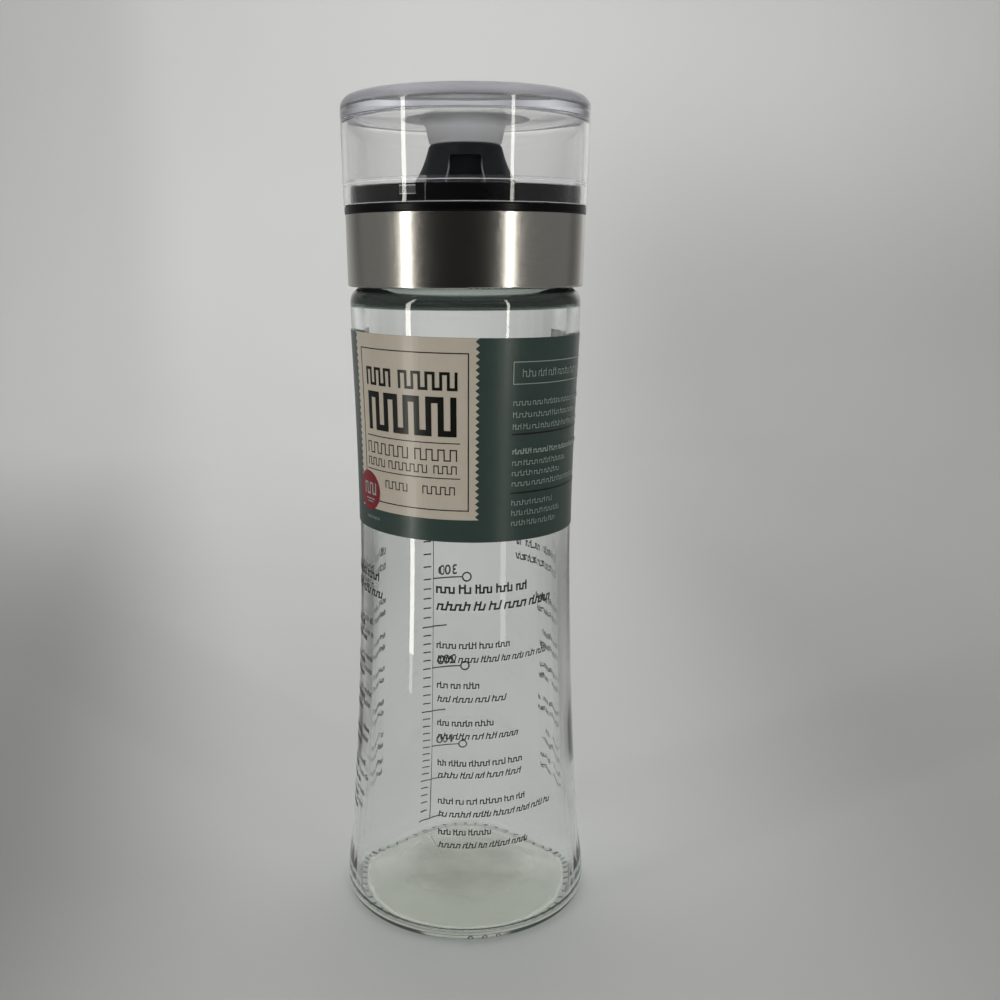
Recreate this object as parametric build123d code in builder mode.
"""A glass salad dressing shaker bottle with a screwed pouring lid and a clear cover cap.

The origin is on the floor at the middle of the bottle, +Z points up along its axis,
and the front of the bottle, where its paper label and its pouring notch are, faces -Y.
All lengths are in millimetres. Angles round the axis are in degrees, counted from the
front towards +X.
"""

import os
from math import cos, radians, sin, tan

from build123d import *

# Clearances
overrun = 1.0  # how far a cut runs past the surface it opens
glue_gap = 0.05  # steel sleeve on plastic, insert in its hole
label_gap = 0.1  # paper on glass
seat_gap = 0.1  # between faces that rest on each other across a joint

# Glass bottle, its outside
base_radius = 40.0
heel_radius = 3.0
waist_radius = 31.35
shoulder_width = 4.6
shoulder_corner = 4.2
shoulder_top = 190.6
# The flare, from the heel up to the waist: heights as shares of the shoulder's height,
# with what is left there of the widening below the waist, as a share of it.
flare_shares = ((0.10, 0.80), (0.18, 0.62), (0.32, 0.375), (0.50, 0.145), (0.64, 0.025))
waist_height_share = 0.755
# Above the waist the wall opens a little again, towards the shoulder.
upper_height_share = 0.89
upper_widening_share = 0.40

# Glass bottle, its inside
glass_wall = 3.6
heel_wall = 2.8
floor_thickness = 2.2
floor_corner = 2.4
floor_dome_slope = 30.0  # in degrees, where the dome meets the corner
inner_shoulder_corner = 1.2

# Standing ring, its moulded stipples and the push-up inside it
standing_ring_width = 3.0
push_up = 7.0
stipple_count = 58
stipple_radius = 0.45
stipple_length = 2.1

# Neck
neck_radius = 27.4
neck_wall = 3.3
neck_height = 19.8
lip_round = 0.9

# Thread: the same ridge winds up the glass and, half a pitch off, inside the lid
thread_pitch = 4.0
thread_depth = 1.25
thread_root_width = 2.1
thread_crest_width = 0.9
thread_sink = 0.3
thread_turns = 1.25
thread_start_above_shoulder = 5.8
thread_radial_gap = 0.45

# Paper label
label_thickness = 0.15
label_bottom = 125.7
label_height = 53.3
label_tilt = 0.9
label_start_angle = -97.0
label_sweep = 215.0

# Steel band round the lid
band_thickness = 0.5
band_height = 17.9
band_curl_width = 1.3

# Lid body
lid_wall = 2.75
flange_overhang = 0.2
flange_thickness = 2.0
flange_round = 0.4
raised_rim_gap = 0.25
raised_rim_height = 4.4
raised_rim_round = 0.5
plate_thickness = 2.0
spout_hole_radius = 13.4

# Gasket between the lid and the rim of the glass
gasket_inset = 0.5

# Pouring spout
spout_foot_overlap = 1.4
spout_flange_overlap = 4.1
spout_waist_radius = 11.7
spout_waist_height_share = 0.45
spout_top_radius = 9.6
spout_height = 10.6
spout_top_round = 1.3
spout_bore_radius = 5.4
spout_funnel_radius = 11.0
spout_flange_thickness = 1.6
notch_width = 8.3
notch_height = 7.0
notch_floor = 0.6
notch_wall = 2.2
notch_corner = 0.8

# Clear cap
cap_overhang = 0.4
cap_wall = 1.7
cap_height = 25.8
cap_top_round = 3.0
cap_recess_depth = 2.8
cap_recess_round = 1.2
cap_rim_wall = 3.6
roof_thickness = 2.3
roof_corner = 1.4
stop_rib_height = 1.4
stop_rib_width = 1.3
boss_foot_round = 0.5
boss_widening = 1.3
boss_fillet = 3.0
pocket_sweep = 40.0
pocket_start_angle = -18.0
pocket_depth = 0.4

# Keys inside the cap's skirt, and the slots in the raised rim that they slide in
key_count = 3
key_first_angle = -27.0
key_width = 4.2
key_height = 2.1
key_depth = 0.65
key_lift = 1.9
key_side_gap = 0.3

# Levels and radii worked out from the sizes above, from the neck outwards and upwards
shoulder_radius = neck_radius + shoulder_width
shoulder_height = shoulder_top - shoulder_corner
bore_radius = neck_radius - neck_wall
rim_height = shoulder_top + neck_height
lid_inner_radius = neck_radius + thread_depth + thread_radial_gap
lid_skirt_radius = lid_inner_radius + lid_wall
band_radius = lid_skirt_radius + glue_gap + band_thickness
band_bottom = shoulder_top - seat_gap
skirt_bottom = band_bottom + band_thickness + glue_gap
flange_bottom = band_bottom + band_height
flange_top = flange_bottom + flange_thickness
flange_radius = band_radius + flange_overhang
plate_top = flange_top + raised_rim_height
plate_bottom = plate_top - plate_thickness
spout_foot_radius = spout_hole_radius + spout_foot_overlap
spout_flange_radius = spout_hole_radius + spout_flange_overlap
spout_top = plate_top + spout_height
cap_radius = band_radius + cap_overhang
cap_inner_radius = cap_radius - cap_wall
raised_rim_radius = cap_inner_radius - raised_rim_gap
boss_foot_radius = spout_top_radius
boss_top_radius = boss_foot_radius + boss_widening
cap_bottom = flange_top + seat_gap
cap_top = cap_bottom + cap_height
roof_top = cap_top - cap_recess_depth
roof_bottom = roof_top - roof_thickness
stop_rib_bottom = plate_top + seat_gap


def from_front(angle):
    """The polar angle of a direction that lies so many degrees round from the front."""
    return angle - 90


def flare_points(inset):
    """The points that the glass wall passes between its heel and its shoulder, moved inwards."""
    widening = base_radius - waist_radius
    points = [
        (waist_radius + widening * radius_share - inset, shoulder_height * height_share)
        for height_share, radius_share in flare_shares
    ]
    upper_radius = waist_radius + (shoulder_radius - waist_radius) * upper_widening_share
    points.append((waist_radius - inset, shoulder_height * waist_height_share))
    points.append((upper_radius - inset, shoulder_height * upper_height_share))
    return points


def wall_curve(inset):
    """The side of the bottle from its heel to its shoulder, moved inwards."""
    return Spline(
        (base_radius - inset, heel_radius),
        *flare_points(inset),
        (shoulder_radius - inset, shoulder_height),
        tangents=((0, 1), (0, 1)),
    )


def ring_edges(piece, radius, height):
    """The round edges of a piece that have this radius and lie at this height."""
    near = overrun / 100
    return piece.edges().filter_by(GeomType.CIRCLE).filter_by(
        lambda edge: abs(edge.radius - radius) < near and abs(edge.arc_center.Z - height) < near
    )


def helical_ridge(root_radius, crest_radius, start_height):
    """One thread ridge that winds up round the axis, from a wall to its crest."""
    outwards = 1 if crest_radius > root_radius else -1
    with BuildPart() as ridge:
        with BuildLine() as path:
            Helix(thread_pitch, thread_turns * thread_pitch, root_radius, center=(0, 0, start_height))
        start_plane = Plane(origin=path.line @ 0, x_dir=(outwards, 0, 0), z_dir=path.line % 0)
        with BuildSketch(start_plane):
            with BuildLine():
                Polyline(
                    (-thread_sink, -thread_root_width / 2),
                    (thread_depth, -thread_crest_width / 2),
                    (thread_depth, thread_crest_width / 2),
                    (-thread_sink, thread_root_width / 2),
                    close=True,
                )
            make_face()
        sweep(path=path.line, is_frenet=True)
    return ridge.part


# The two thread ridges
glass_ridge = helical_ridge(
    neck_radius,
    neck_radius + thread_depth,
    shoulder_top + thread_start_above_shoulder,
)
lid_ridge = helical_ridge(
    lid_inner_radius,
    lid_inner_radius - thread_depth,
    shoulder_top + thread_start_above_shoulder + thread_pitch / 2,
)

# Glass bottle
with BuildPart() as glass_bottle:
    standing_ring_outer = base_radius - heel_radius
    standing_ring_inner = standing_ring_outer - standing_ring_width
    with BuildSketch(Plane.XZ):
        with BuildLine():
            TangentArc((0, push_up), (standing_ring_inner, 0), tangent=(1, 0))
            Line((standing_ring_inner, 0), (standing_ring_outer, 0))
            CenterArc((standing_ring_outer, heel_radius), heel_radius, -90, 90)
            wall_curve(0)
            CenterArc((shoulder_radius - shoulder_corner, shoulder_height), shoulder_corner, 0, 90)
            Polyline(
                (shoulder_radius - shoulder_corner, shoulder_top),
                (neck_radius, shoulder_top),
                (neck_radius, rim_height),
                (0, rim_height),
                (0, push_up),
            )
        make_face()
    revolve(axis=Axis.Z)

    # The hollow: a domed floor, a round corner, the wall, the shoulder and the neck
    corner_top = floor_thickness + floor_corner
    hollow_foot_radius = base_radius - heel_wall
    hollow_shoulder_radius = shoulder_radius - glass_wall
    hollow_shoulder_height = shoulder_height - inner_shoulder_corner
    hollow_top_radius = hollow_shoulder_radius - inner_shoulder_corner
    corner_centre_radius = hollow_foot_radius - floor_corner
    dome_radius = corner_centre_radius - floor_corner * sin(radians(floor_dome_slope))
    dome_bottom = corner_top - floor_corner * cos(radians(floor_dome_slope))
    dome_top = dome_bottom + dome_radius * tan(radians(floor_dome_slope / 2))
    with BuildSketch(Plane.XZ):
        with BuildLine():
            TangentArc((0, dome_top), (dome_radius, dome_bottom), tangent=(1, 0))
            CenterArc(
                (corner_centre_radius, corner_top), floor_corner, -90 - floor_dome_slope, 90 + floor_dome_slope
            )
            Spline(
                (hollow_foot_radius, corner_top),
                *flare_points(glass_wall)[1:],
                (hollow_shoulder_radius, hollow_shoulder_height),
                tangents=((0, 1), (0, 1)),
            )
            CenterArc((hollow_top_radius, hollow_shoulder_height), inner_shoulder_corner, 0, 90)
            Polyline(
                (hollow_top_radius, shoulder_height),
                (bore_radius, shoulder_height),
                (bore_radius, rim_height + overrun),
                (0, rim_height + overrun),
                (0, dome_top),
            )
        make_face()
    revolve(axis=Axis.Z, mode=Mode.SUBTRACT)

    fillet(ring_edges(glass_bottle, neck_radius, rim_height), lip_round)
    fillet(ring_edges(glass_bottle, bore_radius, rim_height), lip_round)
    with PolarLocations(standing_ring_outer - stipple_length / 2, stipple_count):
        Cylinder(stipple_radius, stipple_length, rotation=(0, 90, 0), mode=Mode.SUBTRACT)
    add(glass_ridge)
glass_bottle.part.label = "glass_bottle"

# Paper label, a strip glued round the front of the waist
with BuildPart() as paper_label:
    with BuildSketch(Plane.XZ.rotated((0, 0, from_front(label_start_angle)))):
        with BuildLine():
            inner_side = wall_curve(-label_gap)
            outer_side = wall_curve(-label_gap - label_thickness)
            Line(inner_side @ 0, outer_side @ 0)
            Line(inner_side @ 1, outer_side @ 1)
        make_face()
    revolve(axis=Axis.Z, revolution_arc=label_sweep)
    lower_edge = Plane((0, 0, label_bottom)).rotated((0, label_tilt, 0))
    split(bisect_by=lower_edge, keep=Keep.TOP)
    split(bisect_by=lower_edge.offset(label_height), keep=Keep.BOTTOM)
paper_label.part.label = "paper_label"

# Lid body: threaded skirt, flange, raised rim and top plate
with BuildPart() as lid_body:
    with BuildSketch(Plane.XZ):
        with BuildLine():
            Polyline(
                (lid_inner_radius, skirt_bottom),
                (lid_skirt_radius, skirt_bottom),
                (lid_skirt_radius, flange_bottom),
                (flange_radius, flange_bottom),
                (flange_radius, flange_top),
                (raised_rim_radius, flange_top),
                (raised_rim_radius, plate_top),
                (spout_hole_radius, plate_top),
                (spout_hole_radius, plate_bottom),
                (lid_inner_radius, plate_bottom),
                close=True,
            )
        make_face()
    revolve(axis=Axis.Z)
    fillet(ring_edges(lid_body, flange_radius, flange_top), flange_round)
    fillet(ring_edges(lid_body, flange_radius, flange_bottom), flange_round)
    fillet(ring_edges(lid_body, raised_rim_radius, plate_top), raised_rim_round)

    # Slots for the cap's keys, open at the top
    slot_floor_radius = cap_inner_radius - key_depth - key_side_gap
    slot_bottom = flange_top + key_lift - key_side_gap
    with Locations((0, 0, (slot_bottom + plate_top + overrun) / 2)):
        with PolarLocations(slot_floor_radius, key_count, start_angle=from_front(key_first_angle)):
            Box(
                raised_rim_radius - slot_floor_radius + overrun,
                key_width + 2 * key_side_gap,
                plate_top + overrun - slot_bottom,
                align=(Align.MIN, Align.CENTER, Align.CENTER),
                mode=Mode.SUBTRACT,
            )
    add(lid_ridge)
lid_body.part.label = "lid_body"

# Steel band: a sleeve round the skirt, curled in under it
with BuildPart() as steel_band:
    with BuildSketch(Plane.XZ):
        with BuildLine():
            Polyline(
                (band_radius, band_bottom),
                (band_radius, flange_bottom - glue_gap),
                (band_radius - band_thickness, flange_bottom - glue_gap),
                (band_radius - band_thickness, band_bottom + band_thickness),
                (band_radius - band_curl_width, band_bottom + band_thickness),
                (band_radius - band_curl_width, band_bottom),
                close=True,
            )
        make_face()
    revolve(axis=Axis.Z)
    fillet(ring_edges(steel_band, band_radius, band_bottom), band_thickness - glue_gap)
steel_band.part.label = "steel_band"

# Gasket, a flat ring that the lid presses onto the rim of the glass
with BuildPart() as mouth_gasket:
    with BuildSketch(Plane.XY.offset(rim_height)):
        Circle(lid_inner_radius - gasket_inset)
        Circle(bore_radius + gasket_inset, mode=Mode.SUBTRACT)
    extrude(amount=plate_bottom - seat_gap - rim_height)
mouth_gasket.part.label = "mouth_gasket"

# Pouring spout, an insert that grips the edge of the hole in the lid's plate
with BuildPart() as pour_spout:
    spout_bottom = plate_bottom - spout_flange_thickness
    with BuildSketch(Plane.XZ):
        with BuildLine():
            Polyline(
                (spout_bore_radius, spout_top),
                (spout_bore_radius, plate_top),
                (spout_funnel_radius, spout_bottom),
                (spout_flange_radius, spout_bottom),
                (spout_flange_radius, plate_bottom),
                (spout_hole_radius - glue_gap, plate_bottom),
                (spout_hole_radius - glue_gap, plate_top),
                (spout_foot_radius, plate_top),
            )
            Spline(
                (spout_foot_radius, plate_top),
                (spout_waist_radius, plate_top + spout_height * spout_waist_height_share),
                (spout_top_radius, spout_top),
            )
            Line((spout_top_radius, spout_top), (spout_bore_radius, spout_top))
        make_face()
    revolve(axis=Axis.Z)
    fillet(ring_edges(pour_spout, spout_top_radius, spout_top), spout_top_round)

    # The notch in the front of the spout
    with BuildSketch(Plane.XZ.offset(spout_bore_radius + notch_wall)) as notch_outline:
        with Locations((0, plate_top + notch_floor)):
            Rectangle(notch_width, notch_height, align=(Align.CENTER, Align.MIN))
        fillet(notch_outline.vertices(), notch_corner)
    extrude(amount=spout_foot_radius, mode=Mode.SUBTRACT)
pour_spout.part.label = "pour_spout"

# Clear cap: skirt, stop rib, keys, recessed roof and the boss that closes the spout
with BuildPart() as clear_cap:
    rim_inner_radius = cap_radius - cap_rim_wall
    rib_radius = cap_inner_radius - stop_rib_width
    boss_bottom = spout_top + seat_gap
    with BuildSketch(Plane.XZ):
        with BuildLine():
            Polyline(
                (cap_inner_radius, cap_bottom),
                (cap_radius, cap_bottom),
                (cap_radius, cap_top),
                (rim_inner_radius, cap_top),
                (rim_inner_radius, roof_top),
                (0, roof_top),
                (0, boss_bottom),
                (boss_foot_radius, boss_bottom),
                (boss_top_radius, roof_bottom),
                (cap_inner_radius, roof_bottom),
                (cap_inner_radius, stop_rib_bottom + stop_rib_height),
                (rib_radius, stop_rib_bottom + stop_rib_height),
                (rib_radius, stop_rib_bottom),
                (cap_inner_radius, stop_rib_bottom),
                close=True,
            )
        make_face()
    revolve(axis=Axis.Z)
    fillet(ring_edges(clear_cap, cap_radius, cap_top), cap_top_round)
    fillet(ring_edges(clear_cap, rim_inner_radius, cap_top), cap_rim_wall - cap_top_round - glue_gap)
    fillet(ring_edges(clear_cap, rim_inner_radius, roof_top), cap_recess_round)
    fillet(ring_edges(clear_cap, boss_top_radius, roof_bottom), boss_fillet)
    fillet(ring_edges(clear_cap, boss_foot_radius, boss_bottom), boss_foot_round)
    fillet(ring_edges(clear_cap, cap_inner_radius, roof_bottom), roof_corner)

    # A shallow pocket in the inside of the skirt, at the front
    with BuildSketch(Plane.XZ.rotated((0, 0, from_front(pocket_start_angle)))):
        with Locations((cap_inner_radius - overrun, cap_bottom - overrun)):
            Rectangle(
                overrun + pocket_depth,
                overrun + stop_rib_bottom - cap_bottom,
                align=(Align.MIN, Align.MIN),
            )
    revolve(axis=Axis.Z, revolution_arc=pocket_sweep, mode=Mode.SUBTRACT)

    with Locations((0, 0, flange_top + key_lift + key_height / 2)):
        with PolarLocations(
            cap_inner_radius - key_depth, key_count, start_angle=from_front(key_first_angle)
        ):
            Box(
                key_depth + cap_wall / 2,
                key_width,
                key_height,
                align=(Align.MIN, Align.CENTER, Align.CENTER),
            )
clear_cap.part.label = "clear_cap"

os.makedirs("parts", exist_ok=True)
for piece in (
    glass_bottle,
    paper_label,
    lid_body,
    steel_band,
    mouth_gasket,
    pour_spout,
    clear_cap,
):
    export_step(piece.part, f"parts/{piece.part.label}.step")
